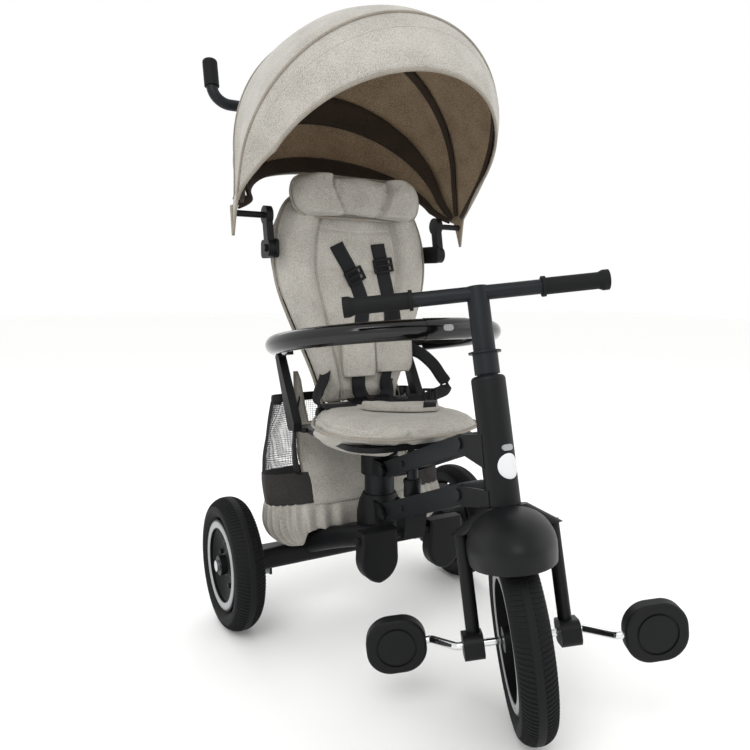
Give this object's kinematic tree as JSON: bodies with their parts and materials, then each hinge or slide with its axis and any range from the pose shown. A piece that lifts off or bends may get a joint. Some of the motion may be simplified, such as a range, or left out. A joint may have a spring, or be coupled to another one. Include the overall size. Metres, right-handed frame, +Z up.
{
  "type": "tricycle",
  "caption": "Folding push tricycle for a small child with a padded seat, bumper ring, hooped sun canopy, storage bag and a telescopic parent handle.",
  "frame": {"origin": "on the floor, under the middle of the bounding box, with the fork turned as parked", "axes": "+Z up, -Y the way a seated child faces, +X to the child's left"},
  "size_m": [0.499, 0.8585, 1.0009],
  "materials": {
    "black_plastic": "moulded, fine grained, satin",
    "grey_plastic": "moulded mid grey, satin",
    "dark_paint": "powder coated dark slate steel tube",
    "gloss_black": "smooth glossy black",
    "chrome": "bright plated steel",
    "steel": "zinc plated",
    "tyre_foam": "moulded foam, matt with a block tread",
    "foam_sleeve": "closed-cell foam sleeve",
    "grey_fabric": "warm grey melange woven polyester",
    "webbing": "black woven webbing and padded sleeves"
  },
  "bodies": {
    "rear_frame": {"axle_housing": "black_plastic", "rear_axle": "chrome", "pedestal": "black_plastic", "seat_post": "dark_paint", "post_collar": "black_plastic", "rear_pivot_pins": "steel", "pole_socket": "black_plastic", "lower_pole": "dark_paint", "storage_bag": "grey_fabric", "seat_pan": "black_plastic", "seat_pad": "grey_fabric", "seat_harness": "webbing", "buckle": "black_plastic", "bumper_sockets": "black_plastic", "bumper_bar": "gloss_black"},
    "lower_beam": {"lower_beam": "dark_paint", "footrest_shaft": "dark_paint"},
    "upper_beam": {"upper_beam": "dark_paint"},
    "strut": {"fold_strut": "dark_paint"},
    "strut_lock": {"strut_sleeve": "black_plastic"},
    "head": {"head_casing": "black_plastic", "head_shoulder": "black_plastic", "front_pivot_pins": "steel"},
    "head_button": {"head_button": "grey_plastic"},
    "steering": {"stem": "black_plastic", "clip_collar": "dark_paint", "handlebar": "dark_paint", "handlebar_grips": "black_plastic", "fork": "black_plastic", "hub_covers": "black_plastic", "front_fender": "black_plastic"},
    "front_wheel": {"front_tyre": "tyre_foam", "front_rim": "black_plastic"},
    "crank": {"crank": "chrome"},
    "left_pedal": {"left_pedal": "black_plastic"},
    "right_pedal": {"right_pedal": "black_plastic"},
    "left_rear_wheel": {"left_rear_tyre": "tyre_foam", "left_rear_rim": "black_plastic"},
    "right_rear_wheel": {"right_rear_tyre": "tyre_foam", "right_rear_rim": "black_plastic"},
    "left_brake": {"left_brake_pedal": "grey_plastic"},
    "right_brake": {"right_brake_pedal": "grey_plastic"},
    "left_footrest": {"left_footrest": "black_plastic"},
    "right_footrest": {"right_footrest": "black_plastic"},
    "bumper_gate": {"bumper_gate": "gloss_black"},
    "bumper_button": {"bumper_button": "grey_plastic"},
    "backrest": {"backrest_shell": "black_plastic", "backrest_pad": "grey_fabric", "headrest": "grey_fabric", "shoulder_harness": "webbing", "canopy_brackets": "black_plastic"},
    "canopy_base": {"canopy_arms": "black_plastic", "canopy_rear_hoop": "gloss_black", "canopy_cover": "grey_fabric"},
    "canopy_broad": {"canopy_broad_hoop": "gloss_black"},
    "canopy_narrow": {"canopy_narrow_hoop": "gloss_black"},
    "canopy_front": {"canopy_front_hoop": "gloss_black"},
    "handle": {"upper_pole": "dark_paint", "push_handle": "dark_paint", "handle_grips": "foam_sleeve"}
  },
  "joints": [
    {"name": "frame_fold", "type": "hinge", "parent": "rear_frame", "child": "lower_beam", "pos_m": [0, 0.045, 0.204], "axis": [1, 0, 0], "range_deg": [0, 35]},
    {"name": "upper_beam_swing", "type": "hinge", "parent": "rear_frame", "child": "upper_beam", "pos_m": [0, 0.045, 0.275], "axis": [1, 0, 0], "range_deg": [0, 35]},
    {"name": "strut_swing", "type": "hinge", "parent": "lower_beam", "child": "strut", "pos_m": [0, -0.012, 0.22659], "axis": [1, 0, 0], "range_deg": [-35, 0]},
    {"name": "strut_lock", "type": "slide", "parent": "strut", "child": "strut_lock", "axis": [0, 0, 1], "range_m": [0, 0.008], "stiffness_N_per_m": 300},
    {"name": "head_swing", "type": "hinge", "parent": "lower_beam", "child": "head", "pos_m": [0, -0.172, 0.29], "axis": [1, 0, 0], "range_deg": [-35, 0]},
    {"name": "head_button_press", "type": "slide", "parent": "head", "child": "head_button", "axis": [0, 0.9699, -0.2436], "range_m": [0, 0.002], "stiffness_N_per_m": 500},
    {"name": "steering", "type": "hinge", "parent": "head", "child": "steering", "pos_m": [0, -0.286, 0.127], "axis": [0, 0.2436, 0.9699], "range_deg": [-10.8, 69.2]},
    {"name": "pedalling", "type": "hinge", "parent": "steering", "child": "crank", "pos_m": [0, -0.286, 0.127], "axis": [0.8729, -0.4732, 0.1189], "continuous": true},
    {"name": "front_wheel_spin", "type": "hinge", "parent": "steering", "child": "front_wheel", "pos_m": [0, -0.286, 0.127], "axis": [0.8729, -0.4732, 0.1189], "continuous": true},
    {"name": "left_pedal_spin", "type": "hinge", "parent": "crank", "child": "left_pedal", "pos_m": [0.11528, -0.40411, 0.15634], "axis": [0.8729, -0.4732, 0.1189], "continuous": true},
    {"name": "right_pedal_spin", "type": "hinge", "parent": "crank", "child": "right_pedal", "pos_m": [-0.11528, -0.16789, 0.09766], "axis": [0.8729, -0.4732, 0.1189], "continuous": true},
    {"name": "left_rear_wheel_spin", "type": "hinge", "parent": "rear_frame", "child": "left_rear_wheel", "pos_m": [0.222, 0.196, 0.11], "axis": [1, 0, 0], "continuous": true},
    {"name": "right_rear_wheel_spin", "type": "hinge", "parent": "rear_frame", "child": "right_rear_wheel", "pos_m": [-0.222, 0.196, 0.11], "axis": [1, 0, 0], "continuous": true},
    {"name": "left_brake", "type": "hinge", "parent": "rear_frame", "child": "left_brake", "pos_m": [0.164, 0.206, 0.082], "axis": [-1, 0, 0], "range_deg": [0, 15]},
    {"name": "right_brake", "type": "hinge", "parent": "rear_frame", "child": "right_brake", "pos_m": [-0.164, 0.206, 0.082], "axis": [-1, 0, 0], "range_deg": [0, 15]},
    {"name": "left_footrest_swing", "type": "hinge", "parent": "lower_beam", "child": "left_footrest", "pos_m": [0.06, -0.01, 0.186], "axis": [-1, 0, 0], "range_deg": [0, 75]},
    {"name": "right_footrest_swing", "type": "hinge", "parent": "lower_beam", "child": "right_footrest", "pos_m": [-0.06, -0.01, 0.186], "axis": [-1, 0, 0], "range_deg": [0, 75]},
    {"name": "bumper_opening", "type": "hinge", "parent": "rear_frame", "child": "bumper_gate", "pos_m": [0.12374, 0.20222, 0.46494], "axis": [0, 0.1564, 0.9877], "range_deg": [0, 55]},
    {"name": "bumper_button_press", "type": "slide", "parent": "bumper_gate", "child": "bumper_button", "axis": [0, 0.9877, -0.1564], "range_m": [0, 0.002], "stiffness_N_per_m": 500},
    {"name": "recline", "type": "hinge", "parent": "rear_frame", "child": "backrest", "pos_m": [0, 0.188, 0.352], "axis": [-1, 0, 0], "range_deg": [0, 5]},
    {"name": "canopy_tilt", "type": "hinge", "parent": "backrest", "child": "canopy_base", "pos_m": [0, 0.17, 0.628], "axis": [1, 0, 0], "range_deg": [-3, 12]},
    {"name": "canopy_broad_fold", "type": "hinge", "parent": "canopy_base", "child": "canopy_broad", "pos_m": [0, 0.18, 0.68], "axis": [-1, 0, 0], "range_deg": [0, 9.5]},
    {"name": "canopy_narrow_fold", "type": "hinge", "parent": "canopy_broad", "child": "canopy_narrow", "pos_m": [0, 0.18, 0.68], "axis": [-1, 0, 0], "range_deg": [0, 22.5]},
    {"name": "canopy_fold", "type": "hinge", "parent": "canopy_narrow", "child": "canopy_front", "pos_m": [0, 0.18, 0.68], "axis": [-1, 0, 0], "range_deg": [0, 29], "deforming": ["canopy_cover"]},
    {"name": "handle_height", "type": "slide", "parent": "rear_frame", "child": "handle", "axis": [0, 0.2181, 0.9759], "range_m": [-0.12, 0]}
  ],
  "couplings": [
    {"joint": "upper_beam_swing", "follows": "frame_fold", "ratio": 1},
    {"joint": "strut_swing", "follows": "frame_fold", "ratio": -1},
    {"joint": "head_swing", "follows": "frame_fold", "ratio": -1},
    {"joint": "front_wheel_spin", "follows": "pedalling", "ratio": 1},
    {"joint": "canopy_narrow_fold", "follows": "canopy_fold", "ratio": 0.76},
    {"joint": "canopy_broad_fold", "follows": "canopy_fold", "ratio": 0.31}
  ]
}
